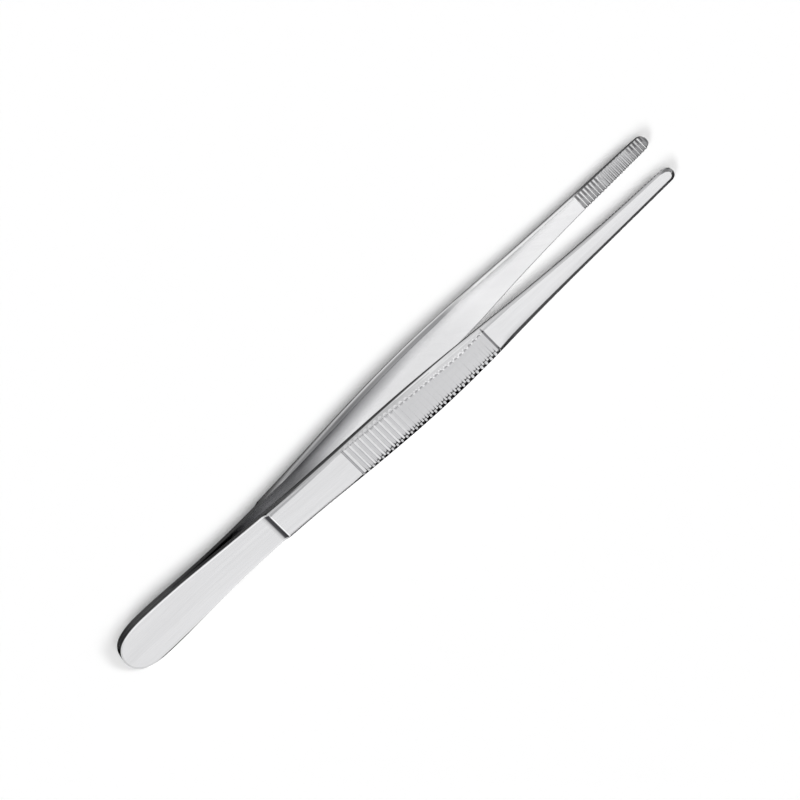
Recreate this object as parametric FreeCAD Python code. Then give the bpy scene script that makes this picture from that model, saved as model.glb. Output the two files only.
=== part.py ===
import FreeCAD, Part
import math
import os

# Dressing thumb forceps of the standard pattern: two spring arms welded together at the butt, with fluted grips
# and serrated jaws. The forceps lies on the narrow edges of its arms, as it does when it is put down.
# +X runs from the butt to the jaw tips, +Y is the way in which the jaws open and +Z is up.
# The origin is on the surface below the middle of the forceps.
# Curves are drawn with x measured from the butt and y from the middle plane, and the arms are moved into place last.

# Driving dimensions, in millimetres and degrees.
length = 145.0

# Where the stations lie, measured from the butt.
land_length = 17.0
blade_at = 25.5
step_at = 40.75
waist_at = 43.5
shank_at = 58.0
grip_widest_at = 76.0
crown_at = 84.0
neck_at = 104.0
jaw_length = 18.3

# Width of an arm's outer face at the stations.
butt_width = 9.5
butt_widest_at = 8.5
butt_end_radius = 4.2
butt_arc_angle = 70.0
blade_width = 8.1
waist_width = 7.2
grip_width = 8.4
flute_end_width = 7.0
neck_width = 5.95
jaw_root_width = 3.82
tip_width = 3.16

# Clear gap between the relaxed arms.
step_gap = 3.1
grip_gap = 10.44
neck_gap = 14.54
jaw_root_gap = 15.8
tip_gap = 16.4

# Thickness of an arm.
blade_thickness = 1.38
step_thickness = 2.25
shank_thickness = 2.24
grip_thickness = 2.14
crown_thickness = 2.04
flute_end_thickness = 1.52
neck_thickness = 1.26
jaw_root_thickness = 1.3
tip_thickness = 0.98
cove_radius = 1.7

# Bevels that run down both long edges of the thick part's outer face.
bevel_angle = 22.0
step_bevel_depth = 0.35
shank_bevel_depth = 0.24
crown_bevel_depth = 0.47
flute_end_bevel_depth = 0.33
neck_bevel_depth = 0.2
jaw_bevel_depth = 0.12

# Finger flutes across the grip's outer face. The first and the last are narrow stop grooves.
flute_start = 60.0
flute_count = 30
flute_pitch = 1.25
flute_width = 0.92
flute_floor = 0.36
flute_depth = 0.26
stop_groove_width = 0.5
stop_groove_floor = 0.16

# Serrations across the jaw's inner face.
tooth_pitch = 0.85
tooth_depth = 0.34
tooth_crest = 0.1
tooth_floor = 0.1

# Room that a cutting solid has beyond what it cuts, and the little that a bevel's plane runs on past its edges.
margin = 2.0
overrun = 0.2

# Places that follow from the dimensions.
jaw_root_at = length - jaw_length
tip_centre_at = length - tip_width / 2
flute_end = flute_start + (flute_count - 1) * flute_pitch
mid_height = max(butt_width, grip_width) / 2


def point(x, y, z=0.0):
    return FreeCAD.Vector(x, y, z)


def curve_through(places, first_direction, last_direction):
    # A smooth curve through a few places, leaving and arriving along the given directions.
    curve = Part.BSplineCurve()
    curve.interpolate(
        Points=[point(x, y) for x, y in places],
        InitialTangent=point(*first_direction),
        FinalTangent=point(*last_direction),
    )
    return curve


def parameter_at(curve, x):
    # The parameter at which a curve that always runs forward along X passes x.
    low = curve.FirstParameter
    high = curve.LastParameter
    for _ in range(60):
        middle = (low + high) / 2
        if curve.value(middle).x < x:
            low = middle
        else:
            high = middle
    return (low + high) / 2


def height_at(curve, x):
    return curve.value(parameter_at(curve, x)).y


def direction_at(curve, x):
    direction = curve.tangent(parameter_at(curve, x))[0]
    return direction if direction.x > 0 else direction * -1


def part_of(curve, first_x, last_x):
    return curve.toShape(parameter_at(curve, first_x), parameter_at(curve, last_x))


def jaw_direction():
    return (jaw_length, (tip_gap - jaw_root_gap) / 2)


def inner_curve():
    # The inner face between the weld land and the straight jaw.
    places = [
        (land_length, 0.0),
        (step_at, step_gap / 2),
        (grip_widest_at, grip_gap / 2),
        (neck_at, neck_gap / 2),
        (jaw_root_at, jaw_root_gap / 2),
    ]
    return curve_through(places, (1.0, 0.0), jaw_direction())


def inner_height(inner, x):
    # Height of the inner face anywhere beyond the weld land, the straight jaw included.
    if x <= jaw_root_at:
        return height_at(inner, x)
    along = (x - jaw_root_at) / jaw_length
    return (jaw_root_gap + along * (tip_gap - jaw_root_gap)) / 2


def outer_curve(inner):
    # The outer face of the thick part, from the step to the tip: the inner face plus the thickness.
    thicknesses = [
        (step_at, step_thickness),
        (shank_at, shank_thickness),
        (grip_widest_at, grip_thickness),
        (crown_at, crown_thickness),
        (flute_end, flute_end_thickness),
        (neck_at, neck_thickness),
        (jaw_root_at, jaw_root_thickness),
        (length, tip_thickness),
    ]
    places = [(x, inner_height(inner, x) + thickness) for x, thickness in thicknesses]
    first = direction_at(inner, step_at)
    taper = tip_thickness - jaw_root_thickness
    last = (jaw_length, (tip_gap - jaw_root_gap) / 2 + taper)
    return curve_through(places, (first.x, first.y), last)


def cove(blade_surface, corner):
    # The concave arc that lifts the blade's outer face to the corner of the thick part.
    along = direction_at(blade_surface, corner.x)
    away = point(-along.y, along.x)
    below = point(corner.x, height_at(blade_surface, corner.x))
    rise = (corner - below).dot(away)
    reach = math.sqrt(rise * (2 * cove_radius - rise))
    foot_x = corner.x - rise * away.x - reach * along.x
    foot = point(foot_x, height_at(blade_surface, foot_x))
    centre = foot + away * cove_radius
    half_way = (foot - centre) + (corner - centre)
    middle = centre + half_way * (cove_radius / half_way.Length)
    return foot, Part.Arc(foot, middle, corner).toShape()


def side_profile(inner, outer):
    # The arm seen along its width, closed over the butt and the tip.
    blade_surface = inner.copy()
    blade_surface.translate(point(0, blade_thickness))
    corner = outer.value(outer.FirstParameter)
    foot, cove_edge = cove(blade_surface, corner)
    jaw_start = inner.value(inner.LastParameter)
    tip_inside = point(length, tip_gap / 2)
    tip_outside = outer.value(outer.LastParameter)
    land_start = point(0, 0)
    land_end = inner.value(inner.FirstParameter)
    butt_corner = point(0, blade_thickness)
    blade_start = blade_surface.value(blade_surface.FirstParameter)
    edges = [
        Part.makeLine(land_start, land_end),
        inner.toShape(),
        Part.makeLine(jaw_start, tip_inside),
        Part.makeLine(tip_inside, tip_outside),
        outer.toShape(),
        cove_edge,
        part_of(blade_surface, blade_start.x, foot.x),
        Part.makeLine(blade_start, butt_corner),
        Part.makeLine(butt_corner, land_start),
    ]
    return Part.Face(Part.Wire(Part.sortEdges(edges)[0]))


def shoulder_curve():
    # Half the width between the butt's end arc and the butt's widest place.
    leaving = math.radians(butt_arc_angle)
    arc_end = (
        butt_end_radius * (1 - math.cos(leaving)),
        butt_end_radius * math.sin(leaving),
    )
    places = [arc_end, (butt_widest_at, butt_width / 2)]
    return curve_through(places, (math.sin(leaving), math.cos(leaving)), (1.0, 0.0))


def width_curve():
    # Half the width between the butt's widest place and the start of the tip's round end.
    places = [
        (butt_widest_at, butt_width / 2),
        (blade_at, blade_width / 2),
        (waist_at, waist_width / 2),
        (grip_widest_at, grip_width / 2),
        (flute_end, flute_end_width / 2),
        (neck_at, neck_width / 2),
        (jaw_root_at, jaw_root_width / 2),
        (tip_centre_at, tip_width / 2),
    ]
    jaw_taper = (tip_centre_at - jaw_root_at, (tip_width - jaw_root_width) / 2)
    return curve_through(places, (1.0, 0.0), jaw_taper)


def face_outline(side):
    # The arm seen square on: the butt's round end, two mirrored long sides and the round tip.
    shoulder = shoulder_curve()
    start = shoulder.value(shoulder.FirstParameter)
    end = side.value(side.LastParameter)
    butt_arc = Part.Arc(point(start.x, -start.y), point(0, 0), start).toShape()
    tip_arc = Part.Arc(end, point(length, 0), point(end.x, -end.y)).toShape()
    upper = [shoulder.toShape(), side.toShape()]
    lower = [edge.mirror(point(0, 0), point(0, 1)) for edge in upper]
    edges = [butt_arc, tip_arc] + upper + lower
    return Part.Face(Part.Wire(Part.sortEdges(edges)[0]))


def blank(inner, outer, side):
    # Where the side profile's slab and the outline's slab meet.
    slab = side_profile(inner, outer).extrude(point(0, 0, butt_width + grip_width))
    slab.translate(point(0, 0, -(butt_width + grip_width) / 2))
    depth = tip_gap + step_thickness + 2 * margin
    plate = face_outline(side).extrude(point(0, 0, -depth))
    plate.rotate(point(0, 0), point(1, 0), 90)
    plate.translate(point(0, -margin))
    return slab.common(plate)


def bevel_section(x, face_height, half_width, depth):
    # A house-shaped outline square to X. Its roof lies on the two bevels and runs on past the bevels' edges.
    slope = math.tan(math.radians(bevel_angle))
    low = half_width + margin
    low_height = face_height - depth - margin * slope
    high = half_width - (depth + overrun) / slope
    high_height = face_height + overrun
    corners = [
        point(x, -margin, -low),
        point(x, low_height, -low),
        point(x, high_height, -high),
        point(x, high_height, high),
        point(x, low_height, low),
        point(x, -margin, low),
    ]
    return Part.makePolygon(corners + corners[:1])


def bevel_waste(outer, side):
    # What lies outside the bevels: a slab over the thick part with the bevelled ridge taken out of it.
    first = step_at - 2 * cove_radius
    last = length + margin
    depths = [
        (first, step_bevel_depth),
        (shank_at, shank_bevel_depth),
        (crown_at, crown_bevel_depth),
        (flute_end, flute_end_bevel_depth),
        (neck_at, neck_bevel_depth),
        (jaw_root_at, jaw_bevel_depth),
        (last, jaw_bevel_depth),
    ]
    sections = []
    for x, depth in depths:
        face_height = height_at(outer, min(max(x, step_at), length))
        half_width = height_at(side, min(x, tip_centre_at))
        sections.append(bevel_section(x, face_height, half_width, depth))
    ridge = Part.makeLoft(sections, True)
    wide = grip_width + 2 * margin
    high = tip_gap + margin
    slab = Part.makeBox(last - first - 1, high, wide, point(first + 0.5, 0, -wide / 2))
    return slab.cut(ridge)


def valley(middle, along, away, top_width, bottom_width, depth):
    # A bar across the arm that cuts a flat-bottomed valley of that depth into a surface that faces against away.
    corners = [
        middle - along * top_width / 2 - away * overrun,
        middle - along * top_width / 2,
        middle - along * bottom_width / 2 + away * depth,
        middle + along * bottom_width / 2 + away * depth,
        middle + along * top_width / 2,
        middle + along * top_width / 2 - away * overrun,
    ]
    across = point(0, 0, butt_width + grip_width)
    bar = Part.Face(Part.makePolygon(corners + corners[:1])).extrude(across)
    bar.translate(across * -0.5)
    return bar


def flute_bars(outer):
    # The flutes stand square to the outer face and run out on the bevels.
    bars = []
    for number in range(flute_count):
        at_end = number in (0, flute_count - 1)
        top = stop_groove_width if at_end else flute_width
        bottom = stop_groove_floor if at_end else flute_floor
        x = flute_start + number * flute_pitch
        along = direction_at(outer, x)
        inwards = point(along.y, -along.x)
        middle = point(x, height_at(outer, x))
        bars.append(valley(middle, along, inwards, top, bottom, flute_depth))
    return bars


def tooth_bars(inner, first_valley):
    # The first valley lies first_valley pitches from the jaw's root, and the teeth run out to the tip.
    along = point(*jaw_direction()).normalize()
    inwards = point(-along.y, along.x)
    bars = []
    for number in range(int(jaw_length / tooth_pitch)):
        x = jaw_root_at + (number + first_valley) * tooth_pitch
        middle = point(x, inner_height(inner, x))
        bars.append(valley(middle, along, inwards, tooth_pitch - tooth_crest, tooth_floor, tooth_depth))
    return bars


def arm_without_teeth(inner):
    outer = outer_curve(inner)
    side = width_curve()
    bevelled = blank(inner, outer, side).cut(bevel_waste(outer, side))
    return bevelled.cut(flute_bars(outer))


def placed(arm):
    # Moves an arm from the butt's frame to the middle of the forceps, with its widest place on the ground.
    solid = arm.Solids[0]
    solid.translate(point(-length / 2, 0, mid_height))
    return solid


def build():
    inner = inner_curve()
    plain = arm_without_teeth(inner)
    rear = plain.cut(tooth_bars(inner, 0.5))
    front = plain.cut(tooth_bars(inner, 1.0)).mirror(point(0, 0), point(0, 1))
    return {"front_arm": placed(front), "rear_arm": placed(rear)}


os.makedirs("parts", exist_ok=True)
for name, solid in build().items():
    print(name, round(solid.Volume, 1), solid.isValid(), solid.BoundBox)
    solid.exportStep("parts/" + name + ".step")
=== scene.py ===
import math

import bmesh
import bpy
import numpy as np
from mathutils import Matrix, Vector


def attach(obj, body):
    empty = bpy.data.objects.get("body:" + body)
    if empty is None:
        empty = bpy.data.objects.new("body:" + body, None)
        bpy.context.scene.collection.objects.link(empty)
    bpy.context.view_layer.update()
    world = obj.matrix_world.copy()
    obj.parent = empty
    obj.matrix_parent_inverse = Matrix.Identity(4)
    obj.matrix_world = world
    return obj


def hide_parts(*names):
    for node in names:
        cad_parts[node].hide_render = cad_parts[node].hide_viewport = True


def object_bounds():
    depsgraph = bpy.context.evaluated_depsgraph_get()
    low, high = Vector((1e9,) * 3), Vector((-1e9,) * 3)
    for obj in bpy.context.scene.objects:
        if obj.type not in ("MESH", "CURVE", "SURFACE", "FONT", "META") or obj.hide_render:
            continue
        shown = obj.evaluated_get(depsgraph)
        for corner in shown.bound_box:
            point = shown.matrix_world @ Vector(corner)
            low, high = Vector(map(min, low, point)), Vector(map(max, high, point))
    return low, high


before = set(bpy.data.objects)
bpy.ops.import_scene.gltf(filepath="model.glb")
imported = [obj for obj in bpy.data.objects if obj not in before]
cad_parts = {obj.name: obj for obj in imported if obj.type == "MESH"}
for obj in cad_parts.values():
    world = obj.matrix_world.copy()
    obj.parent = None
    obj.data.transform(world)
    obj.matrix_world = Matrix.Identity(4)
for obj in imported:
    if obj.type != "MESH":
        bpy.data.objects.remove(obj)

# Sizes are in millimetres. x runs from the butt to the tips, n outwards from an arm's inner face, and w
# across the arm's width. A list of pairs gives a value at places along x, with straight lines between them.
mm = 0.001
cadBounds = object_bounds()  # the CAD model's box, before any piece is added
lowCorner = [value / mm for value in cadBounds[0]]
highCorner = [value / mm for value in cadBounds[1]]
length = highCorner[0] - lowCorner[0]
midHeight = (lowCorner[2] + highCorner[2]) / 2

armSizes = {
    "landLength": 17.0,  # the arms are welded together up to here
    "stepAt": 40.75,
    "jawLength": 18.3,
    "buttRadius": 4.2,
    "buttArcAngle": 70.0,
    "buttWidestAt": 8.5,
    "buttWidth": 9.5,
    "tipWidth": 3.16,
    "bladeThickness": 1.38,
    "coveRadius": 1.7,
    "coveReach": 0.99,  # share of that radius, past which the step goes straight up
    "stepSlope": 20.0,
    "bevelAngle": 22.0,
    "cornerSoftness": 0.1,
    "bevelSoftness": 0.12,
    "leastBevel": 0.1,
    "leastInnerEdge": 0.05,
    "halfGap": [(40.75, 1.55), (76.0, 5.22), (104.0, 7.27), (126.7, 7.9), (145.0, 8.2)],
    "width": [(25.5, 8.1), (43.5, 7.2), (76.0, 8.4), (96.25, 7.0), (104.0, 5.95), (126.7, 3.82)],
    "thickness": [
        (40.75, 2.25), (58.0, 2.24), (76.0, 2.14), (84.0, 2.04), (96.25, 1.52), (104.0, 1.26), (126.7, 1.3),
        (145.0, 0.98),
    ],
    "upperBevel": [
        (40.75, 0.35), (50.0, 0.24), (58.0, 0.16), (78.0, 0.52), (90.0, 0.58), (96.25, 0.3), (104.0, 0.12),
        (126.7, 0.09), (142.4, 0.09), (144.0, 0.28),
    ],
    "lowerBevel": [(40.75, 0.35), (58.0, 0.24), (84.0, 0.47), (96.25, 0.4), (104.0, 0.38), (126.7, 0.3)],
    "outerEdge": [(0.0, 0.07), (45.0, 0.07), (96.0, 0.08), (104.0, 0.14)],
    "frontInnerEdge": [(17.0, 0.0), (22.0, 0.05), (45.0, 0.05), (57.0, 0.12)],
    "rearInnerEdge": [
        (46.0, 0.0), (62.0, 0.36), (72.0, 0.4), (90.0, 0.4), (97.0, 0.16), (126.0, 0.14), (130.0, 0.05),
    ],
    "frontCrown": [  # how far the narrow side faces are crowned
        (43.0, 0.0), (50.0, 0.09), (76.0, 0.085), (90.0, 0.11), (104.0, 0.07), (145.0, 0.06),
    ],
    "rearRoll": [  # how much nearer to the arm's middle the side faces are at their inner edges
        (40.0, 0.0), (50.0, 0.2), (60.0, 0.24), (90.0, 0.25), (98.0, 0.12), (126.0, 0.09), (130.0, 0.0),
    ],
}

fluteSizes = {
    "start": 60.0,
    "pitch": 1.25,
    "count": 30,
    "width": 0.86,
    "endWidth": 0.5,  # the first and the last are narrow stop grooves
    "depth": 0.34,
    "bowlPower": 2.2,  # 2 for an oval floor, and more for a flatter one
    "upperRunout": [(70.0, 1.0), (79.0, 2.5)],  # how soon they end on the upper bevel, 1 for a level floor
    "lowerRunout": 0.8,
    # painted shade where the grooves end on the upper bevel
    "upperEndShade": [(74.0, 0.0), (79.0, 0.18), (95.0, 0.18), (96.0, 0.0)],
    "middleDepth": [(70.0, 0.75), (76.0, 0.6)],  # share of the depth on the flat of the front arm's worn face
    "middlePower": 2.2,  # above 1, the grooves have softer rims there
    "crestFade": [(70.5, 0.0), (74.0, 0.6)],  # how far its ridges take the hollows' painted shade too
}

toothSizes = {
    "pitch": 0.85,
    "depth": 0.26,
    "crest": 0.1,
    "floor": 0.1,
    "rearStart": 0.5,  # the first valley, in pitches from the jaw's root
    "frontStart": 1.0,
    "shade": [(132.3, 0.85), (133.5, 0.25), (140.0, 0.25), (141.0, 0.95)],  # painted shade: how dark the valleys are
    "lowerShade": 0.75,  # share of that in the jaw's lower half
    "shadeEdge": 0.25,
}

tarnish = {  # painted shade and painted dark reflections: how dark each part of an arm's surface is made
    "step": [(38.8, 0.0), (39.6, 0.3), (40.0, 1.0), (40.72, 1.0), (40.8, 0.0)],
    "stops": [
        (59.85, 0.0), (59.95, 0.3), (60.05, 0.3), (60.15, 0.0), (96.05, 0.0), (96.18, 0.8), (96.32, 0.8),
        (96.45, 0.0),
    ],
    "upperBevel": [
        (40.75, 0.28), (50.0, 0.26), (58.0, 0.0), (96.3, 0.0), (99.0, 0.1), (142.0, 0.25), (143.6, 0.75),
    ],
    "lowerBevel": [
        (40.75, 0.15), (48.0, 0.12), (53.0, 0.0), (96.3, 0.0), (99.0, 0.3), (142.0, 0.4), (143.6, 0.7),
    ],
    "tipRim": [(143.9, 0.0), (144.3, 0.75)],
    "upperRim": [(44.0, 0.0), (50.0, 0.5), (74.0, 0.5), (84.0, 0.0)],
    "lowerSide": [(96.5, 0.0), (99.0, 0.6), (110.0, 0.55), (126.0, 0.25), (143.0, 0.1)],
    "face": [(0.0, 0.09), (60.0, 0.08), (110.0, 0.01), (130.0, 0.0)],
    "buttEdge": [(0.0, 0.45), (4.0, 0.3), (14.0, 0.0)],
    "innerEdge": [(44.0, 0.0), (50.0, 0.6), (64.0, 0.8), (76.0, 0.6), (92.0, 0.55), (97.0, 0.0)],
    "innerRoot": [
        (16.9, 0.0), (17.0, 0.95), (30.0, 0.9), (36.0, 0.45), (42.0, 0.42), (48.0, 0.5), (52.0, 0.48),
        (58.0, 0.22), (66.0, 0.1), (90.0, 0.1), (100.0, 0.0),
    ],
    "innerTop": [
        (40.0, 0.4), (52.0, 0.85), (62.0, 0.8), (72.0, 0.6), (80.0, 0.4), (90.0, 0.15), (98.0, 0.0),
    ],
    "innerFoot": [(90.0, 0.0), (96.0, 1.0)],
    "buttSides": [
        (0.0, 0.9), (3.0, 0.8), (7.0, 0.45), (18.0, 0.5), (27.0, 0.75), (33.0, 0.55), (41.0, 0.3),
        (46.0, 0.0),
    ],
    "teeth": [(132.7, 0.0), (133.6, 0.3), (139.8, 0.3), (140.8, 0.15)],
    "tip": [(144.2, 0.0), (144.6, 0.9)],
}

paintedShadeReach = {
    "stepEdgeTo": 0.3,
    "innerTopFrom": -0.5,  # the inner face's painted shade starts at this height above the arm's middle
    "innerTopOver": 3.6,
    "innerTopPower": 2,
    "lowerSideOver": 2.6,  # and the outer face this far in from its lower edge
    "lowerSidePower": 1.5,
    "buttEndAt": 3.0,
}

polishAndHighlight = {  # how bright the edges and the sides are made: partly wear from use, partly painted highlight
    "bevelRim": 0.8,
    "besideFlutes": [(56.0, 0.0), (62.0, 0.4), (94.0, 0.4), (97.0, 0.0)],
    "edges": [(2.0, 0.0), (6.0, 1.0), (96.0, 1.0), (102.0, 0.3)],
    "lowerEdges": 0.3,  # share of that on the lower edges
    "rearRim": [(50.0, 0.0), (72.0, 1.0)],  # and on the rear arm's side faces
    "rearSide": [(96.0, 0.0), (102.0, 0.9), (126.0, 0.9), (128.0, 0.0)],
    "frontSide": [(44.0, 0.0), (50.0, 0.8), (84.0, 0.8), (92.0, 0.0)],
    "stepEdge": [(40.78, 0.0), (40.85, 0.6), (40.95, 0.6), (41.05, 0.0)],
}

surfaceParts = {  # where one part of an arm's surface ends and the next begins
    "outerFrom": 0.75,  # in shares of the blade's thickness
    "outerOver": 0.2,
    "sideTo": 0.9,
    "sideFrom": 0.01,  # in millimetres from the inner face
    "rimFrom": 0.001,
    "innerFlatTo": 0.02,
    "innerOver": 0.3,
    "flatTo": 0.002,  # in millimetres below the outer face
    "bevelFrom": 0.03,
    "runoutTo": 0.12,
    "bevelTo": 0.6,  # in shares of the thickness from the inner face
    "rimTo": 0.75,
    "rearRimTo": 0.8,
}

stations = {  # the places along an arm where it has a ring of points
    "buttArc": 28,
    "shoulder": 14,
    "tipArc": 26,
    "stepFrom": 38.0,
    "stepTo": 42.0,
    "bladeSpacing": 0.55,
    "stepSpacing": 0.05,
    "armSpacing": 0.45,
    "least": 0.006,
    "beforeTip": 0.004,
    "flute": (-0.5, -0.44, -0.395, -0.36, -0.32, -0.27, -0.21, -0.14, -0.07),  # in pitches from its middle
    "tooth": (-0.5, -0.44, -0.41, -0.25, -0.09, -0.06),
}

ring = {  # the columns of points round an arm
    "bevelShares": (1.0, 0.86, 0.74, 0.6, 0.45, 0.3, 0.15),
    "pastBevel": 1.15,  # the first column lies this many bevel widths in from the edge
    "pastBevelBy": 0.05,
    "turns": (90, 70, 50, 30, 15, 0),  # degrees round each edge
    "sideMarks": {0.2: 0.0, 0.4: 0.9, 0.6: -0.4, 0.8: -0.9},  # place on the side: how far it counts as an outer edge (above zero) or an inner edge (below), for painted highlight and painted shade
    "innerShares": (0.012, 0.17, 0.33, 0.5, 0.67, 0.83, 0.988),
    "outerShares": (0.125, 0.25, 0.375, 0.5, 0.625, 0.75, 0.875),
    "mergeWithin": 0.0002,
    "sharpFrom": 38.0,  # degrees between two faces
}

jawRoot = length - armSizes["jawLength"]
tipRadius = armSizes["tipWidth"] / 2
tipCentre = length - tipRadius
toothCount = int(armSizes["jawLength"] / toothSizes["pitch"])


def smoothCurve(places, firstSlope, lastSlope):  # a cubic through the places, straight on past its ends
    xs = np.array([place[0] for place in places], float)
    ys = np.array([place[1] for place in places], float)
    steps = np.diff(xs)
    count = len(xs)
    system = np.eye(count)
    wanted = np.zeros(count)
    wanted[0] = firstSlope
    wanted[-1] = lastSlope
    for i in range(1, count - 1):
        before = steps[i - 1]
        after = steps[i]
        system[i, i - 1:i + 2] = (after, 2 * (before + after), before)
        wanted[i] = 3 * (after * (ys[i] - ys[i - 1]) / before + before * (ys[i + 1] - ys[i]) / after)
    slopes = np.linalg.solve(system, wanted)

    def value(x):
        inside = np.clip(x, xs[0], xs[-1])
        k = np.clip(np.searchsorted(xs, inside, side="right") - 1, 0, count - 2)
        t = (inside - xs[k]) / steps[k]
        straight = (2 * t**3 - 3 * t**2 + 1) * ys[k] + (3 * t**2 - 2 * t**3) * ys[k + 1]
        bend = steps[k] * ((t**3 - 2 * t**2 + t) * slopes[k] + (t**3 - t**2) * slopes[k + 1])
        beyond = np.where(x > xs[-1], (x - xs[-1]) * lastSlope, 0)
        past = np.where(x < xs[0], (x - xs[0]) * firstSlope, beyond)
        return straight + bend + past

    return value


def straightLines(places):
    return lambda x: np.interp(x, [place[0] for place in places], [place[1] for place in places])


def slopeOf(curve, x, nudge=0.01):
    return (curve(x + nudge) - curve(x - nudge)) / (2 * nudge)


def softLower(first, second, softness):  # the lower of two heights, rounded where they cross
    mix = np.clip(0.5 + 0.5 * (second - first) / softness, 0, 1)
    return second + (first - second) * mix - softness * mix * (1 - mix)


def endSlope(places):
    return (places[-1][1] - places[-2][1]) / (places[-1][0] - places[-2][0])


halfGap = smoothCurve(
    [(armSizes["landLength"], 0.0)] + armSizes["halfGap"][:-1], 0.0, endSlope(armSizes["halfGap"])
)
outerPlaces = [(x, float(halfGap(x)) + thick) for x, thick in armSizes["thickness"]]
outerFace = smoothCurve(outerPlaces, float(slopeOf(halfGap, armSizes["stepAt"])), endSlope(outerPlaces))
upperBevel = straightLines(armSizes["upperBevel"])
lowerBevel = straightLines(armSizes["lowerBevel"])
bevelSlope = math.tan(math.radians(armSizes["bevelAngle"]))
outerEdge = straightLines(armSizes["outerEdge"])
noRoll = straightLines([(0.0, 0.0)])
frontSides = (straightLines(armSizes["frontCrown"]), noRoll, straightLines(armSizes["frontInnerEdge"]))
rearSides = (noRoll, straightLines(armSizes["rearRoll"]), straightLines(armSizes["rearInnerEdge"]))

buttAngle = math.radians(armSizes["buttArcAngle"])
buttArcEnd = armSizes["buttRadius"] * (1 - math.cos(buttAngle))
shoulder = smoothCurve(
    [
        (buttArcEnd, armSizes["buttRadius"] * math.sin(buttAngle)),
        (armSizes["buttWidestAt"], armSizes["buttWidth"] / 2),
    ],
    1 / math.tan(buttAngle),
    0.0,
)
sidePlaces = (
    [(armSizes["buttWidestAt"], armSizes["buttWidth"] / 2)]
    + [(x, width / 2) for x, width in armSizes["width"]]
    + [(tipCentre, tipRadius)]
)
side = smoothCurve(sidePlaces, 0.0, endSlope(sidePlaces))


def innerHeight(x):
    return np.where(x > armSizes["landLength"], halfGap(x), 0.0)


def faceThickness(x):  # of the thick part, held steady behind the step
    x = np.maximum(x, armSizes["stepAt"])
    return outerFace(x) - halfGap(x)


def coveThickness(x):  # the blade's thickness, and the hollow that lifts it to the step
    rise = float(faceThickness(armSizes["stepAt"])) - armSizes["bladeThickness"]
    radius = armSizes["coveRadius"]
    foot = armSizes["stepAt"] - math.sqrt(rise * (2 * radius - rise))
    reach = armSizes["coveReach"]
    along = np.clip((x - foot) / radius, 0, reach)
    lifted = armSizes["bladeThickness"] + radius * (1 - np.sqrt(1 - along**2))
    return lifted + armSizes["stepSlope"] * np.maximum(x - foot - reach * radius, 0)


def topHeight(x, inset, bevelDepth):  # height of the outer face, that far in from the arm's side
    run = np.maximum(bevelDepth(x), armSizes["leastBevel"]) / bevelSlope
    softness = armSizes["bevelSoftness"]
    fall = 1 - inset / run
    foot = np.where(fall > -softness, (fall + softness)**2 / (4 * softness), 0)
    ramp = np.where(fall > softness, fall, foot)
    bevelled = faceThickness(x) - bevelDepth(x) * ramp
    return softLower(coveThickness(x), bevelled, armSizes["cornerSoftness"])


def halfWidth(x):  # of the arm's outline, with the outline's outward direction there
    buttRadius = armSizes["buttRadius"]
    slopes = slopeOf(side, x)
    shoulderSlopes = slopeOf(shoulder, x)
    onButt = x <= buttArcEnd
    onShoulder = (x > buttArcEnd) & (x <= armSizes["buttWidestAt"])
    onTip = x > tipCentre
    buttWidth = np.sqrt(np.maximum(buttRadius**2 - (buttRadius - x)**2, 0))
    tipWidth = np.sqrt(np.maximum(tipRadius**2 - (x - tipCentre)**2, 0))
    width = np.select([onButt, onShoulder, onTip], [buttWidth, shoulder(x), tipWidth], side(x))
    slope = np.where(onShoulder, shoulderSlopes, slopes)
    size = np.sqrt(1 + slope**2)
    ends = [onButt, onTip]
    forward = np.select(ends, [(x - buttRadius) / buttRadius, (x - tipCentre) / tipRadius], -slope / size)
    sideways = np.select(ends, [buttWidth / buttRadius, tipWidth / tipRadius], 1 / size)
    return width, forward, sideways


def stationsAlong(toothStart):  # close together where the shape turns quickly
    fluteCorners = np.array(stations["flute"])
    fluteCorners = np.concatenate([fluteCorners, [0.0], -fluteCorners[:0:-1]]) * fluteSizes["pitch"]
    toothCorners = np.array(stations["tooth"]) * toothSizes["pitch"]
    toothCorners = np.concatenate([toothCorners, [0.0], -toothCorners[:0:-1]])
    turn = np.linspace(0, buttAngle, stations["buttArc"])
    quarter = np.linspace(0, math.pi / 2, stations["tipArc"])
    stepFrom = stations["stepFrom"]
    stepTo = stations["stepTo"]
    firstFlute = fluteSizes["start"] - fluteSizes["pitch"] / 2
    lastFlute = firstFlute + fluteSizes["count"] * fluteSizes["pitch"]
    firstTooth = jawRoot + (toothStart - 0.5) * toothSizes["pitch"]
    parts = [
        armSizes["buttRadius"] * (1 - np.cos(turn)),
        np.linspace(buttArcEnd, armSizes["buttWidestAt"], stations["shoulder"]),
        np.arange(armSizes["buttWidestAt"], stepFrom, stations["bladeSpacing"]),
        np.arange(stepFrom, stepTo, stations["stepSpacing"]),
        np.arange(stepTo, firstFlute, stations["armSpacing"]),
        np.arange(lastFlute, jawRoot, stations["armSpacing"]),
        tipCentre + tipRadius * np.sin(quarter),
    ]
    for number in range(fluteSizes["count"]):
        parts.append(fluteSizes["start"] + number * fluteSizes["pitch"] + fluteCorners)
    for number in range(toothCount + 1):
        parts.append(firstTooth + (number + 0.5) * toothSizes["pitch"] + toothCorners)
    xs = np.sort(np.concatenate(parts))
    xs = xs[(xs >= 0) & (xs <= length - stations["beforeTip"])]
    kept = [0.0]
    for x in xs:
        if x - kept[-1] > stations["least"]:
            kept.append(float(x))
    return np.array(kept + [length])


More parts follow.
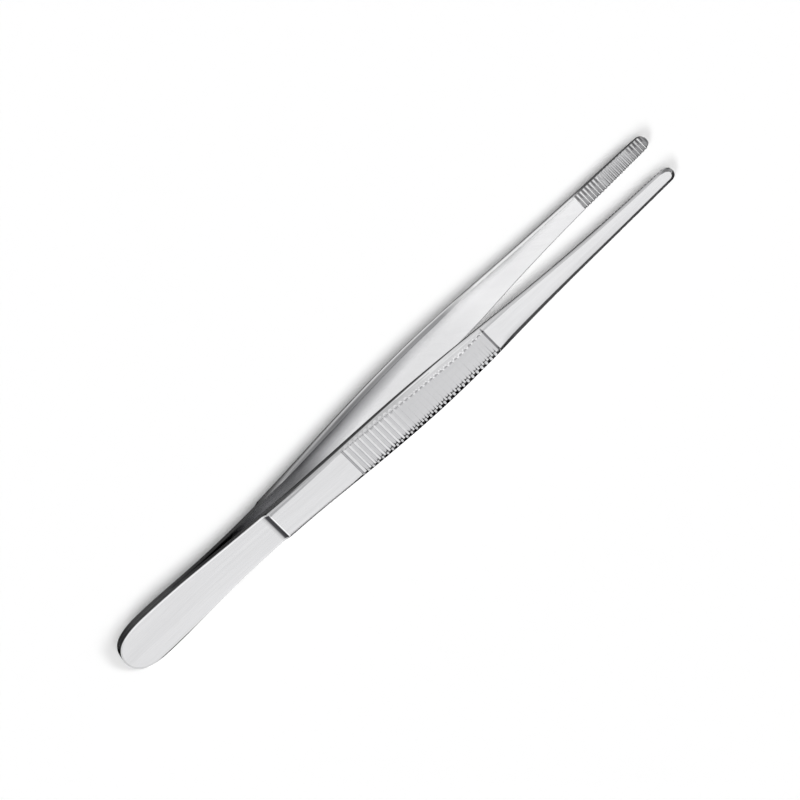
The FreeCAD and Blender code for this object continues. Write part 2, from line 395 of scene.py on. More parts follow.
def halfRing(xs, sides, bevelDepth):  # columns of one half, from the bevel down the side to the inner edge
    width, forward, sideways = halfWidth(xs)
    crown, roll, innerEdge = sides
    bulge = crown(xs)
    innerSpread = np.maximum(innerEdge(xs), armSizes["leastInnerEdge"])
    turns = np.radians(ring["turns"])

    def place(inset):
        return xs - inset * forward, width - inset * sideways

    columns = []
    bevelRun = np.maximum(bevelDepth(xs), armSizes["leastBevel"]) / bevelSlope
    lastInset = bulge + bevelRun * ring["pastBevel"] + ring["pastBevelBy"]
    radius = outerEdge(xs)
    bevelBrightening = straightLines(polishAndHighlight["besideFlutes"])(xs)
    firstShare = ring["bevelShares"][0]
    lastShare = ring["bevelShares"][-1]
    # the marks brighten outer edges, as wear and painted highlight, and below zero mark inner edges for
    # painted shade
    for share in ring["bevelShares"]:
        inset = bulge + radius + (lastInset - bulge - radius) * share
        x, w = place(inset)
        mark = polishAndHighlight["bevelRim"] if share == lastShare else bevelBrightening * (share < firstShare)
        columns.append((x, w, topHeight(x, inset - bulge, bevelDepth), mark))
    for turn in turns:
        inset = bulge + radius * (1 - math.cos(turn))
        x, w = place(inset)
        high = topHeight(x, inset - bulge, bevelDepth) - radius * (1 - math.sin(turn))
        columns.append((x, w, high, math.sin(2 * turn)))
    x, w = place(bulge)
    high = topHeight(x, 0.0, bevelDepth) - radius
    low = innerEdge(x)
    for share, mark in ring["sideMarks"].items():
        x, w = place(bulge * (2 * share - 1)**2 + roll(xs) * share**2)
        columns.append((x, w, high + (low - high) * share, mark))
    for turn in turns[::-1]:
        x, w = place(bulge + roll(xs) + innerSpread * (1 - math.cos(turn)))
        columns.append((x, w, innerEdge(x) * (1 - math.sin(turn)), -math.cos(turn / 2)))
    return columns


def across(first, last, shares):  # columns between an edge column and its mirror twin
    columns = []
    for share in shares:
        w = first[1] + (last[1] - first[1]) * share
        columns.append((first[0], w, first[2], 0.0))
    return columns


def pointFacts(x, w, n, edge, sign):  # what the nodes and the finishes read at each point of an arm
    thickness = faceThickness(x)
    below = thickness - n
    share = n / thickness
    bladeShare = n / armSizes["bladeThickness"]
    upper = w > 0
    lower = w < 0
    front = sign < 0
    rear = sign > 0
    outerEdges = np.clip(edge, 0, 1)
    innerEdges = np.clip(-edge, 0, 1)
    part = surfaceParts
    onOuter = np.clip((bladeShare - part["outerFrom"]) / part["outerOver"], 0, 1)
    onInner = np.clip(1 - n / part["innerOver"], 0, 1)
    onFlat = below < part["flatTo"]
    onBevel = (below > part["bevelFrom"]) & (share > part["bevelTo"]) & (x > armSizes["stepAt"])
    onSide = (n > part["sideFrom"]) & (bladeShare < part["sideTo"])
    onInnerFlat = n < part["innerFlatTo"]
    atRunout = (below > part["flatTo"]) & (below < part["runoutTo"]) & upper
    fromLowerEdge = np.max(w, axis=1, keepdims=True) + w
    reach = paintedShadeReach
    innerTop = np.clip((w - reach["innerTopFrom"]) / reach["innerTopOver"], 0, 1)**reach["innerTopPower"]
    lowerSide = np.clip(1 - fromLowerEdge / reach["lowerSideOver"], 0, 1)**reach["lowerSidePower"]
    # where each painted shade goes
    places = {
        "step": onOuter * (outerEdges < reach["stepEdgeTo"]),
        "stops": onOuter,
        "upperBevel": onBevel & upper,
        "lowerBevel": onBevel & lower,
        "tipRim": outerEdges,
        "upperRim": outerEdges * upper * front,
        "lowerSide": onOuter * lowerSide,
        "face": onOuter,
        "buttEdge": outerEdges * onOuter * (lower | (x < reach["buttEndAt"])),
        "innerEdge": innerEdges,
        "innerRoot": onInnerFlat,
        "innerTop": onInnerFlat * rear * innerTop,
        "innerFoot": innerEdges * lower,
        "buttSides": onSide,
        "teeth": onInner,
        "tip": onInner,
    }
    darkest = np.max([straightLines(tarnish[place])(x) * where for place, where in places.items()], 0)

    def brightened(place):
        return straightLines(polishAndHighlight[place])(x)

    onRearRim = rear & (share < part["rearRimTo"])
    onUpperSide = upper & (n > part["rimFrom"]) & (share < part["rimTo"])
    edgeBrightening = outerEdges * brightened("edges") * np.where(upper, 1, polishAndHighlight["lowerEdges"])
    edgeBrightening = edgeBrightening * np.where(onRearRim, brightened("rearRim"), 1)
    sideBrightening = onUpperSide * (front * brightened("frontSide") + rear * brightened("rearSide"))
    runout = np.where(upper, straightLines(fluteSizes["upperRunout"])(x), fluteSizes["lowerRunout"])
    wornFlat = onFlat & front
    toothHalf = np.where(w > toothSizes["shadeEdge"], 1.0, toothSizes["lowerShade"])
    return {
        "along": x * mm,
        "belowFace": below * runout * mm,
        "innerPull": np.clip(1 - n / (thickness / 2), 0, 1),
        "edge": np.max([edgeBrightening, sideBrightening, brightened("stepEdge") * onOuter], 0),
        "inside": (n < part["rimFrom"]) * 1.0,
        "crestFade": straightLines(fluteSizes["crestFade"])(x) * wornFlat,
        "depthShare": np.where(wornFlat, straightLines(fluteSizes["middleDepth"])(x), 1.0),
        "rimPower": np.where(onFlat, fluteSizes["middlePower"], 1.0),
        "endShade": straightLines(fluteSizes["upperEndShade"])(x) * atRunout,
        "toothShade": straightLines(toothSizes["shade"])(x) * toothHalf,
        "tarnish": darkest,
    }


def armMesh(name, sign, toothStart, sides):
    xs = stationsAlong(toothStart)
    upper = halfRing(xs, sides, upperBevel)
    lower = [(x, -w, n, edge) for x, w, n, edge in halfRing(xs, sides, lowerBevel)[::-1]]
    innerFace = across(upper[-1], lower[0], ring["innerShares"])
    outerFace = across(lower[-1], upper[0], ring["outerShares"])
    columns = upper + innerFace + lower + outerFace
    x = np.stack([column[0] for column in columns], 1)
    w = np.stack([column[1] for column in columns], 1)
    n = np.stack([column[2] for column in columns], 1)
    edge = np.stack([np.full(len(xs), column[3]) for column in columns], 1)
    outwards = np.minimum(innerHeight(x) + n, highCorner[1] - 0.001)
    points = np.stack([x - length / 2, sign * outwards, w + midHeight], -1).reshape(-1, 3) * mm
    ringSize = len(columns)
    i, j = np.meshgrid(np.arange(len(xs) - 1), np.arange(ringSize), indexing="ij")
    after = (j + 1) % ringSize
    here = i * ringSize
    ahead = here + ringSize
    faces = np.stack([here + j, here + after, ahead + after, ahead + j], -1)
    mesh = bpy.data.meshes.new(name)
    mesh.from_pydata(points.tolist(), [], faces.reshape(-1, 4).tolist())
    for fact, values in pointFacts(x, w, n, edge, sign).items():
        mesh.attributes.new(fact, "FLOAT", "POINT").data.foreach_set("value", values.reshape(-1))
    flow = np.stack([x, w, n], -1).reshape(-1) * mm
    mesh.attributes.new("flow", "FLOAT_VECTOR", "POINT").data.foreach_set("vector", flow)
    shell = bmesh.new()
    shell.from_mesh(mesh)
    bmesh.ops.remove_doubles(shell, verts=shell.verts, dist=ring["mergeWithin"] * mm)
    bmesh.ops.recalc_face_normals(shell, faces=shell.faces)
    shell.to_mesh(mesh)
    shell.free()
    return mesh


def addNodes(tree):  # returns short helpers that add a node and join it up
    def add(kind, inputs=(), **settings):
        node = tree.nodes.new(kind)
        for setting, value in settings.items():
            setattr(node, setting, value)
        for socket, value in dict(inputs).items():
            target = node.inputs[socket]
            if isinstance(value, bpy.types.NodeSocket):
                tree.links.new(value, target)
            else:
                target.default_value = value
        return node

    def maths(operation, *values):
        return add("ShaderNodeMath", dict(enumerate(values)), operation=operation).outputs[0]

    return add, maths


def grooveRowGroup():  # how deep a row of like grooves is at a place along the arm
    tree = bpy.data.node_groups.new("grooveRow", "GeometryNodeTree")
    for socket in ("Along", "Start", "Pitch", "Count", "Width", "Floor", "End Width", "Depth", "Roundness"):
        tree.interface.new_socket(socket, in_out="INPUT", socket_type="NodeSocketFloat")
    tree.interface.new_socket("Cut", in_out="OUTPUT", socket_type="NodeSocketFloat")
    add, maths = addNodes(tree)
    given = add("NodeGroupInput").outputs
    fromStart = maths("SUBTRACT", given["Along"], given["Start"])
    number = maths("ROUND", maths("DIVIDE", fromStart, given["Pitch"]))
    aside = maths("ABSOLUTE", maths("SUBTRACT", fromStart, maths("MULTIPLY", number, given["Pitch"])))
    last = maths("SUBTRACT", given["Count"], 1.0)
    notBefore = maths("GREATER_THAN", number, -0.5)
    notAfter = maths("LESS_THAN", number, maths("ADD", last, 0.5))
    isFirst = maths("LESS_THAN", number, 0.5)
    isLast = maths("GREATER_THAN", number, maths("SUBTRACT", last, 0.5))
    isEnd = maths("MAXIMUM", isFirst, isLast)
    widthChange = maths("SUBTRACT", given["End Width"], given["Width"])
    half = maths("MULTIPLY", maths("MULTIPLY_ADD", widthChange, isEnd, given["Width"]), 0.5)
    outward = maths("MINIMUM", maths("DIVIDE", aside, half), 1.0)
    bowl = maths("SQRT", maths("SUBTRACT", 1.0, maths("POWER", outward, fluteSizes["bowlPower"])))
    halfFloor = maths("MULTIPLY", given["Floor"], 0.5)
    slant = maths("DIVIDE", maths("SUBTRACT", half, aside), maths("SUBTRACT", half, halfFloor))
    vee = maths("MAXIMUM", maths("MINIMUM", slant, 1.0), 0.0)
    roundPart = maths("MULTIPLY", bowl, given["Roundness"])
    profile = maths("MULTIPLY_ADD", vee, maths("SUBTRACT", 1.0, given["Roundness"]), roundPart)
    inRow = maths("MULTIPLY", notBefore, notAfter)
    cut = maths("MULTIPLY", maths("MULTIPLY", profile, given["Depth"]), inRow)
    add("NodeGroupOutput", {"Cut": cut})
    return tree


def cutArmTree(grooveRow):  # cuts the flutes into the outer face and the serrations into the jaw
    tree = bpy.data.node_groups.new("cutArm", "GeometryNodeTree")
    tree.interface.new_socket("Geometry", in_out="INPUT", socket_type="NodeSocketGeometry")
    for socket in (
        "Side", "Flute Start", "Flute Pitch", "Flute Count", "Flute Width", "Flute End Width", "Flute Depth",
        "Tooth Start", "Tooth Pitch", "Tooth Count", "Tooth Width", "Tooth Floor", "Tooth Depth",
    ):
        tree.interface.new_socket(socket, in_out="INPUT", socket_type="NodeSocketFloat")
    for socket in ("Outer Finish", "Inner Finish"):
        tree.interface.new_socket(socket, in_out="INPUT", socket_type="NodeSocketMaterial")
    tree.interface.new_socket("Geometry", in_out="OUTPUT", socket_type="NodeSocketGeometry")
    add, maths = addNodes(tree)
    given = add("NodeGroupInput").outputs

    def fact(name):
        return add("GeometryNodeInputNamedAttribute", {"Name": name}, data_type="FLOAT").outputs["Attribute"]

    flutes = add("GeometryNodeGroup", node_tree=grooveRow)
    teeth = add("GeometryNodeGroup", node_tree=grooveRow)
    along = fact("along")
    for node, row in ((flutes, "Flute"), (teeth, "Tooth")):
        tree.links.new(along, node.inputs["Along"])
        for socket in ("Start", "Pitch", "Count", "Width", "Depth"):
            tree.links.new(given[row + " " + socket], node.inputs[socket])
    tree.links.new(given["Flute End Width"], flutes.inputs["End Width"])
    flutes.inputs["Roundness"].default_value = 1.0
    tree.links.new(given["Tooth Width"], teeth.inputs["End Width"])
    tree.links.new(given["Tooth Floor"], teeth.inputs["Floor"])
    teeth.inputs["Roundness"].default_value = 0.0
    fluteShare = maths("POWER", maths("DIVIDE", flutes.outputs[0], given["Flute Depth"]), fact("rimPower"))
    fluteDeep = maths("MULTIPLY", maths("MULTIPLY", fluteShare, given["Flute Depth"]), fact("depthShare"))
    fluteCut = maths("MAXIMUM", maths("SUBTRACT", fluteDeep, fact("belowFace")), 0.0)
    toothCut = maths("MULTIPLY", teeth.outputs[0], fact("innerPull"))
    move = maths("MULTIPLY", maths("SUBTRACT", toothCut, fluteCut), given["Side"])
    offset = add("ShaderNodeCombineXYZ", {"Y": move}).outputs[0]
    moved = add("GeometryNodeSetPosition", {"Geometry": given["Geometry"], "Offset": offset}).outputs[0]
    gaps = maths("SUBTRACT", given["Flute Count"], 1.0)
    rowEnd = maths("MULTIPLY_ADD", gaps, given["Flute Pitch"], given["Flute Start"])
    pastStart = maths("GREATER_THAN", along, given["Flute Start"])
    inRow = maths("MULTIPLY", pastStart, maths("LESS_THAN", along, rowEnd))
    # the hollow, tooth and groove-end darkening is painted shade in the cuts
    cutShare = maths("DIVIDE", fluteCut, given["Flute Depth"])
    hollow = maths("MAXIMUM", cutShare, maths("MULTIPLY", fact("crestFade"), inRow))
    toothDark = maths("MULTIPLY", maths("DIVIDE", toothCut, given["Tooth Depth"]), fact("toothShade"))
    endDark = maths("MULTIPLY", fluteShare, fact("endShade"))
    darkest = maths("MAXIMUM", fact("tarnish"), maths("MAXIMUM", toothDark, endDark))
    marked = moved
    for mark, value in (("hollow", hollow), ("tarnish", darkest)):
        marked = add(
            "GeometryNodeStoreNamedAttribute",
            {"Geometry": marked, "Name": mark, "Value": value},
            data_type="FLOAT",
            domain="POINT",
        ).outputs[0]
    real = add("GeometryNodeRealizeInstances", {"Geometry": marked}).outputs[0]
    outer = add("GeometryNodeSetMaterial", {"Geometry": real, "Material": given["Outer Finish"]}).outputs[0]
    isInner = maths("GREATER_THAN", fact("inside"), 0.99)
    inner = add(
        "GeometryNodeSetMaterial",
        {"Geometry": outer, "Selection": isInner, "Material": given["Inner Finish"]},
    ).outputs[0]
    add("NodeGroupOutput", {"Geometry": inner})
    return tree


def makeArm(name, node, sign, toothStart, sides, tree, finishes):
    arm = bpy.data.objects.new(name, armMesh(name, sign, toothStart, sides))
    bpy.context.scene.collection.objects.link(arm)
    values = {
        "Side": float(sign),
        "Flute Start": fluteSizes["start"] * mm,
        "Flute Pitch": fluteSizes["pitch"] * mm,
        "Flute Count": float(fluteSizes["count"]),
        "Flute Width": fluteSizes["width"] * mm,
        "Flute End Width": fluteSizes["endWidth"] * mm,
        "Flute Depth": fluteSizes["depth"] * mm,
        "Tooth Start": (jawRoot + toothStart * toothSizes["pitch"]) * mm,
        "Tooth Pitch": toothSizes["pitch"] * mm,
        "Tooth Count": float(toothCount),
        "Tooth Width": (toothSizes["pitch"] - toothSizes["crest"]) * mm,
        "Tooth Floor": toothSizes["floor"] * mm,
        "Tooth Depth": toothSizes["depth"] * mm,
        "Outer Finish": finishes[0],
        "Inner Finish": finishes[1],
    }
    cutter = arm.modifiers.new("cutArm", "NODES")
    cutter.node_group = tree
    for item in tree.interface.items_tree:
        if item.name in values:
            cutter[item.identifier] = values[item.name]
    plain = arm.data
    evaluated = arm.evaluated_get(bpy.context.evaluated_depsgraph_get())
    arm.data = bpy.data.meshes.new_from_object(evaluated)
    arm.modifiers.clear()
    bpy.data.meshes.remove(plain)
    arm.data.name = name
    arm.data.shade_smooth()
    arm.data.set_sharp_from_angle(angle=math.radians(ring["sharpFrom"]))
    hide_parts(node)
    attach(arm, "root")
    print(name, "has", len(arm.data.polygons), "faces and", [m.name for m in arm.data.materials])
    return arm


grainPattern = {
    "streakDetail": 3.0,
    "streakRoughness": 0.6,
    "patchScale": 0.11,  # in streaks
    "patchDetail": 4.0,
    "patchRoughness": 0.55,
}


def steelGrainGroup():  # fine grain that runs along the arm, as colour, roughness and height
    tree = bpy.data.node_groups.new("steelGrain", "ShaderNodeTree")
    for socket, value in (("Turn", 0.0), ("Fineness", 9000.0), ("Length", 0.02)):
        tree.interface.new_socket(socket, in_out="INPUT", socket_type="NodeSocketFloat").default_value = value
    tree.interface.new_socket("Streaks", in_out="OUTPUT", socket_type="NodeSocketFloat")
    tree.interface.new_socket("Patches", in_out="OUTPUT", socket_type="NodeSocketFloat")
    add, maths = addNodes(tree)
    given = add("NodeGroupInput").outputs
    flow = add("ShaderNodeAttribute", attribute_name="flow").outputs["Vector"]
    turned = add(
        "ShaderNodeVectorRotate", {"Vector": flow, "Angle": given["Turn"]}, rotation_type="Z_AXIS"
    ).outputs[0]
    lengthwise = maths("MULTIPLY", given["Fineness"], given["Length"])
    fineness = given["Fineness"]
    scale = add("ShaderNodeCombineXYZ", {"X": lengthwise, "Y": fineness, "Z": fineness}).outputs[0]
    stretched = add("ShaderNodeVectorMath", {0: turned, 1: scale}, operation="MULTIPLY").outputs[0]
    patchScale = grainPattern["patchScale"]
    wide = add("ShaderNodeVectorMath", {0: stretched, "Scale": patchScale}, operation="SCALE").outputs[0]

    def noise(place, kind):
        looks = {"Detail": grainPattern[kind + "Detail"], "Roughness": grainPattern[kind + "Roughness"]}
        return add("ShaderNodeTexNoise", {"Vector": place, "Scale": 1.0, **looks})

    streaks = noise(stretched, "streak")
    patches = noise(wide, "patch")
    add("NodeGroupOutput", {"Streaks": streaks.outputs[0], "Patches": patches.outputs[0]})
    return tree


wearAndHighlightPattern = {"spotScale": 700.0, "spotDetail": 3.0, "least": 0.4}


def edgeWearAndHighlightGroup():  # where the edges are brightened, by wear and as painted highlight, broken up a little
    tree = bpy.data.node_groups.new("edgeWearAndHighlight", "ShaderNodeTree")
    tree.interface.new_socket("Amount", in_out="INPUT", socket_type="NodeSocketFloat").default_value = 1.0
    tree.interface.new_socket("Mask", in_out="OUTPUT", socket_type="NodeSocketFloat")
    add, maths = addNodes(tree)
    given = add("NodeGroupInput").outputs
    edge = add("ShaderNodeAttribute", attribute_name="edge").outputs["Fac"]
    place = add("ShaderNodeTexCoord").outputs["Object"]
    scale = wearAndHighlightPattern["spotScale"]
    spots = add("ShaderNodeTexNoise", {"Vector": place, "Scale": scale, "Detail": wearAndHighlightPattern["spotDetail"]})
    broken = maths("MULTIPLY", edge, maths("ADD", wearAndHighlightPattern["least"], spots.outputs[0]))
    mask = maths("MINIMUM", maths("MULTIPLY", broken, given["Amount"]), 1.0)
    add("NodeGroupOutput", {"Mask": mask})
    return tree


def steelFinish(name, grain, wearAndHighlight, looks):
    material = bpy.data.materials.new(name)
    material.use_nodes = True
    tree = material.node_tree
    tree.nodes.clear()
    add, maths = addNodes(tree)
    steel = add("ShaderNodeGroup", node_tree=grain)
    steel.inputs["Turn"].default_value = math.radians(looks["grainTurn"])
    steel.inputs["Fineness"].default_value = looks["fineness"]
    steel.inputs["Length"].default_value = looks["streakLength"]
    wornAndHighlit = add("ShaderNodeGroup", node_tree=wearAndHighlight)
    wornAndHighlit.inputs["Amount"].default_value = looks["wearAndHighlight"]
    streaks = steel.outputs["Streaks"]
    patches = steel.outputs["Patches"]
    hollow = add("ShaderNodeAttribute", attribute_name="hollow").outputs["Fac"]
    mixed = maths("ADD", maths("MULTIPLY", streaks, 0.5), maths("MULTIPLY", patches, 0.5))
    ramp = add("ShaderNodeValToRGB", {"Fac": mixed})
    for stop, shade in zip(ramp.color_ramp.elements, ("darkSteel", "lightSteel")):
        stop.position = looks[shade + "At"]
        stop.color = looks[shade] + (1,)
    paintedShadeMask = add("ShaderNodeAttribute", attribute_name="tarnish").outputs["Fac"]

    def blend(factor, first, second):  # the colour sockets of a Mix node are numbers 6 and 7
        return add("ShaderNodeMix", {0: factor, 6: first, 7: second}, data_type="RGBA").outputs[2]

    # edges brightened as wear and as painted highlight
    colour = blend(wornAndHighlit.outputs["Mask"], ramp.outputs[0], looks["wornAndHighlitSteel"] + (1,))
    colour = blend(maths("MULTIPLY", hollow, looks["hollowShade"]), colour, looks["hollowSteel"] + (1,))
    # painted shade and painted dark reflections
    colour = blend(paintedShadeMask, colour, looks["paintedShadeSteel"] + (1,))
    rough = looks["roughness"]
    for pattern in (patches, streaks):
        rough = maths("MULTIPLY_ADD", maths("SUBTRACT", pattern, 0.5), looks["roughnessSpread"], rough)
    rough = maths("MULTIPLY_ADD", wornAndHighlit.outputs["Mask"], -looks["wornSmoother"], rough)
    distance = looks["bumpHeight"] * mm
    bump = add("ShaderNodeBump", {"Height": streaks, "Strength": looks["bump"], "Distance": distance})
    shader = add(
        "ShaderNodeBsdfPrincipled",
        {"Base Color": colour, "Roughness": rough, "Metallic": 1.0, "Normal": bump.outputs[0]},
    )
    add("ShaderNodeOutputMaterial", {"Surface": shader.outputs[0]})
    return material


outerSatin = {
    "grainTurn": 0.0,
    "fineness": 9000.0,
    "streakLength": 0.02,
    "darkSteel": (0.66, 0.66, 0.67),
    "darkSteelAt": 0.3,  # the grain's value there, from 0 to 1
    "lightSteel": (0.76, 0.76, 0.77),
    "lightSteelAt": 0.7,
    # the brightened edges: wear and painted highlight
    "wornAndHighlitSteel": (0.99, 0.99, 1.0),
    # painted shade in the flute hollows
    "hollowSteel": (0.43, 0.43, 0.44),
    # painted shade and painted dark reflections
    "paintedShadeSteel": (0.05, 0.05, 0.055),
    "hollowShade": 0.8,
    "wearAndHighlight": 1.3,
    "roughness": 0.22,
    "roughnessSpread": 0.12,
    "wornSmoother": 0.1,
    "bump": 0.15,
    "bumpHeight": 0.02,
}

# a lighter copy of the steel for the inner faces, with its own grain: the lighter colour is painted light
# that brightens their reflections
innerSatinBrightened = dict(
    outerSatin,
    grainTurn=38.0,
    fineness=6000.0,
    streakLength=0.03,
    darkSteel=(0.88, 0.88, 0.89),
    lightSteel=(0.96, 0.96, 0.97),
    roughness=0.2,
    roughnessSpread=0.03,
    bump=0.04,
)

print("building the steel finishes")
grain = steelGrainGroup()
wearAndHighlight = edgeWearAndHighlightGroup()
finishes = (
    steelFinish("outerSatinSteel", grain, wearAndHighlight, outerSatin),
    steelFinish("innerSatinBrightenedSteel", grain, wearAndHighlight, innerSatinBrightened),
)

print("building the arms")
cutArm = cutArmTree(grooveRowGroup())
makeArm("frontArmSteel", "front_arm", -1, toothSizes["frontStart"], frontSides, cutArm, finishes)
makeArm("rearArmSteel", "rear_arm", 1, toothSizes["rearStart"], rearSides, cutArm, finishes)

floorLooks = {
    "size": 3.0,
    "colour": 0.8,
    "lift": 0.18,  # light that only the camera sees, so that the floor comes out white
    "mirroredLift": 0.88,  # the same for reflections
    "mirroredColour": 0.25,
}


def makeFloor():
    half = floorLooks["size"] / 2
    mesh = bpy.data.meshes.new("floor")
    corners = [(-half, -half, 0), (half, -half, 0), (half, half, 0), (-half, half, 0)]
    mesh.from_pydata(corners, [], [(0, 1, 2, 3)])
    floor = bpy.data.objects.new("floor", mesh)
    bpy.context.scene.collection.objects.link(floor)
    material = bpy.data.materials.new("floorWhite")
    material.use_nodes = True
    tree = material.node_tree
    tree.nodes.clear()
    add, maths = addNodes(tree)
    rays = add("ShaderNodeLightPath").outputs
    mirrored = rays["Is Glossy Ray"]
    change = floorLooks["mirroredColour"] - floorLooks["colour"]
    colour = maths("MULTIPLY_ADD", mirrored, change, floorLooks["colour"])
    matt = add("ShaderNodeBsdfDiffuse", {"Color": colour})
    seenLift = maths("MULTIPLY", rays["Is Camera Ray"], floorLooks["lift"])
    lift = maths("MULTIPLY_ADD", mirrored, floorLooks["mirroredLift"], seenLift)
    glow = add("ShaderNodeEmission", {"Strength": lift}).outputs[0]
    both = add("ShaderNodeAddShader", {0: matt.outputs[0], 1: glow}).outputs[0]
    add("ShaderNodeOutputMaterial", {"Surface": both})
    mesh.materials.append(material)


cardSizes = {
    "outside": [  # how far a card reaches past the arm's outer face
        (0.0, 0.4), (36.0, 0.35), (41.0, 0.3), (57.0, 0.35), (60.0, 0.7), (97.5, 0.8), (100.0, 2.6),
        (126.0, 3.4), (145.0, 3.4), (148.0, 7.0), (160.0, 7.0),
    ],
    "inside": [(0.0, 0.5), (100.0, 0.6), (110.0, 3.3), (145.0, 3.7)],  # and how far it reaches the other way
    "beyondButt": 2.0,
    "beyondTip": 12.0,
    "count": 120,
    "grey": 0.13,  # under the necks and jaws
    "greyFrom": 96.5,
    "greyTo": 100.5,
    "buttCardFrom": (-300.0, 4.0),  # its nearer corner, from the butt's end
    "buttCardTo": (0.2, 400.0),
    "height": 0.02,
}


def makeShadowCards():  # dark cards under each arm and behind the butt, as painted shadow: only reflections show them
    xs = np.linspace(-cardSizes["beyondButt"], length + cardSizes["beyondTip"], cardSizes["count"])
    inner = innerHeight(xs)
    outer = inner + np.where(xs < armSizes["stepAt"], armSizes["bladeThickness"], faceThickness(xs))
    near = np.maximum(outer - straightLines(cardSizes["inside"])(xs), 0) * mm
    far = (outer + straightLines(cardSizes["outside"])(xs)) * mm
    places = (xs - length / 2) * mm
    material = bpy.data.materials.new("shadowCard")
    material.use_nodes = True
    material.node_tree.nodes.clear()
    add = addNodes(material.node_tree)[0]
    along = add("ShaderNodeSeparateXYZ", {0: add("ShaderNodeTexCoord").outputs["Object"]}).outputs[0]
    grey = add("ShaderNodeMapRange", {"Value": along})
    grey.inputs["From Min"].default_value = (cardSizes["greyFrom"] - length / 2) * mm
    grey.inputs["From Max"].default_value = (cardSizes["greyTo"] - length / 2) * mm
    grey.inputs["To Max"].default_value = cardSizes["grey"]
    glow = add("ShaderNodeEmission", {"Strength": grey.outputs[0]}).outputs[0]
    add("ShaderNodeOutputMaterial", {"Surface": glow})
    height = cardSizes["height"] * mm
    count = len(xs)
    shapes = {}
    for name, sign in (("frontCard", -1), ("rearCard", 1)):
        points = [(x, sign * y, height) for row in (near, far) for x, y in zip(places, row)]
        shapes[name] = (points, [(i, i + 1, count + i + 1, count + i) for i in range(count - 1)])
    left, first = cardSizes["buttCardFrom"]
    right, last = cardSizes["buttCardTo"]
    corners = [(left, first), (right, first), (right, last), (left, last)]
    points = [((x - length / 2) * mm, y * mm, height) for x, y in corners]
    shapes["buttCard"] = (points, [(0, 1, 2, 3)])
    for name, (points, faces) in shapes.items():
        mesh = bpy.data.meshes.new(name)
        mesh.from_pydata(points, [], faces)
        mesh.materials.append(material)
        card = bpy.data.objects.new(name, mesh)
        bpy.context.scene.collection.objects.link(card)
        card.visible_camera = False
        card.visible_diffuse = False
        card.visible_shadow = False


studio = {
    "keyAzimuths": (-8.0, 4.0, 16.0),
    "keyElevation": 23.9,
    "keySpread": 8.0,  # degrees across each lamp, seen from the forceps
    "keyStrength": 2.3,
    "fill": 0.2,  # share of the room's brightness that lights the floor; the camera and the steel see it all
    "sideBlend": 0.4,  # how gently the front wall gives way to the room behind
    "backDark": 0.09,  # the room behind, up to the elevations given below
    "frontWall": 1.0,
    "ceiling": 1.05,
    "darkUpTo": 33.0,
    "brightFrom": 46.0,
}


def direction(azimuth, elevation):  # from the object towards a viewer or lamp
    a = math.radians(azimuth)
    e = math.radians(elevation)
    return Vector((math.sin(a) * math.cos(e), -math.cos(a) * math.cos(e), math.sin(e)))


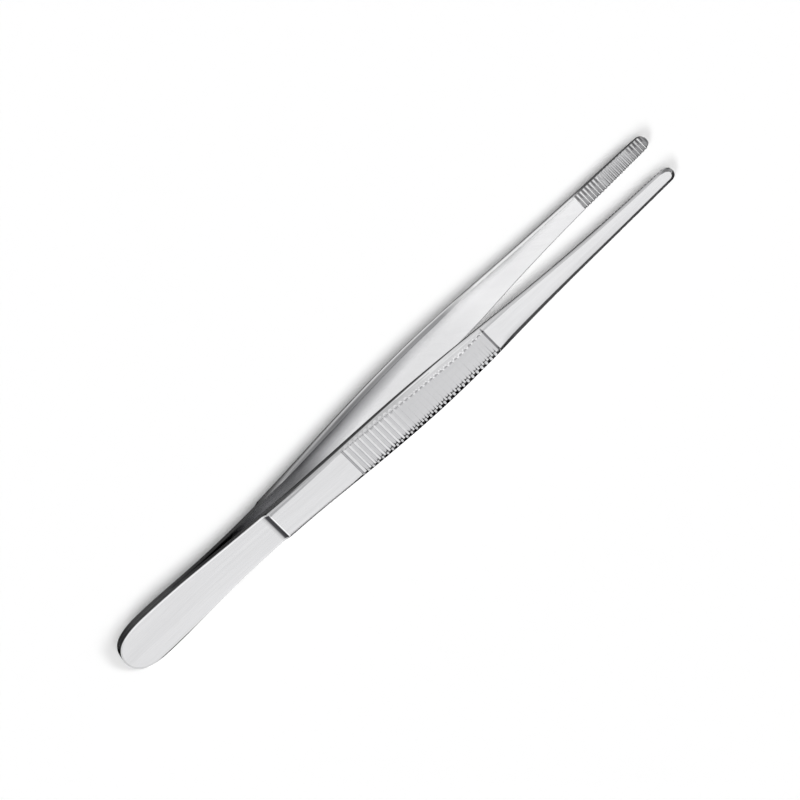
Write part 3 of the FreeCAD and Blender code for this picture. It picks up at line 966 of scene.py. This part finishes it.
def makeStudio():
    world = bpy.data.worlds.new("studio")
    bpy.context.scene.world = world
    world.use_nodes = True
    tree = world.node_tree
    tree.nodes.clear()
    add, maths = addNodes(tree)
    towards = add("ShaderNodeSeparateXYZ", {0: add("ShaderNodeTexCoord").outputs["Generated"]}).outputs

    def ramp(value, fromLow, fromHigh, toLow, toHigh):
        node = add("ShaderNodeMapRange", {"Value": value}, interpolation_type="SMOOTHSTEP")
        ends = {"From Min": fromLow, "From Max": fromHigh, "To Min": toLow, "To Max": toHigh}
        for socket, number in ends.items():
            node.inputs[socket].default_value = number
        return node.outputs[0]

    low = math.sin(math.radians(studio["darkUpTo"]))
    high = math.sin(math.radians(studio["brightFrom"]))
    behind = ramp(towards["Z"], low, high, studio["backDark"], studio["ceiling"])
    front = ramp(towards["Z"], low, high, studio["frontWall"], studio["ceiling"])
    rearward = ramp(towards["Y"], -studio["sideBlend"], studio["sideBlend"], 0.0, 1.0)
    level = maths("MULTIPLY_ADD", maths("SUBTRACT", behind, front), rearward, front)
    rays = add("ShaderNodeLightPath").outputs
    reflected = maths("MAXIMUM", rays["Is Glossy Ray"], rays["Is Transmission Ray"])
    seen = maths("MAXIMUM", rays["Is Camera Ray"], reflected)
    level = maths("MULTIPLY", level, maths("MULTIPLY_ADD", seen, 1 - studio["fill"], studio["fill"]))
    sky = add("ShaderNodeBackground", {"Strength": level}).outputs[0]
    add("ShaderNodeOutputWorld", {"Surface": sky})
    lamp = bpy.data.lights.new("key", "SUN")
    lamp.angle = math.radians(studio["keySpread"])
    lamp.energy = studio["keyStrength"]
    for number, azimuth in enumerate(studio["keyAzimuths"]):
        key = bpy.data.objects.new("key" + str(number + 1), lamp)
        towardsKey = direction(azimuth, studio["keyElevation"])
        key.rotation_euler = towardsKey.to_track_quat("Z", "Y").to_euler()
        key.visible_glossy = False  # the steel mirrors the room and the floor
        bpy.context.scene.collection.objects.link(key)


view = {
    "azimuth": 3.822,
    "elevation": 27.787,
    "roll": -45.241,
    "distance": 2.0,
    "pixelsPerRadian": 10190.0,  # the photograph's focal length in pixels
    "centre": (391.1, 408.1),  # pixel where the forceps' middle lies
    "imageSize": 800.0,
    "sensor": 36.0,
}


def makeCamera():
    back = direction(view["azimuth"], view["elevation"])
    azimuth = math.radians(view["azimuth"])
    level = Vector((math.cos(azimuth), math.sin(azimuth), 0))
    upright = back.cross(level)
    roll = math.radians(view["roll"])
    right = level * math.cos(roll) + upright * math.sin(roll)
    up = upright * math.cos(roll) - level * math.sin(roll)
    perPixel = view["distance"] / view["pixelsPerRadian"]
    middle = view["imageSize"] / 2
    aside = right * (middle - view["centre"][0]) * perPixel + up * (view["centre"][1] - middle) * perPixel
    place = Vector((0, 0, midHeight * mm)) + back * view["distance"] + aside
    camera = bpy.data.objects.new("camera", bpy.data.cameras.new("camera"))
    camera.data.sensor_width = view["sensor"]
    camera.data.lens = view["pixelsPerRadian"] / view["imageSize"] * view["sensor"]
    camera.matrix_world = Matrix.Translation(place) @ Matrix((right, up, back)).transposed().to_4x4()
    bpy.context.scene.collection.objects.link(camera)
    bpy.context.scene.camera = camera


print("building the floor, lamps and camera")
makeFloor()
makeShadowCards()
makeStudio()
makeCamera()
bpy.context.scene.view_settings.view_transform = "Standard"
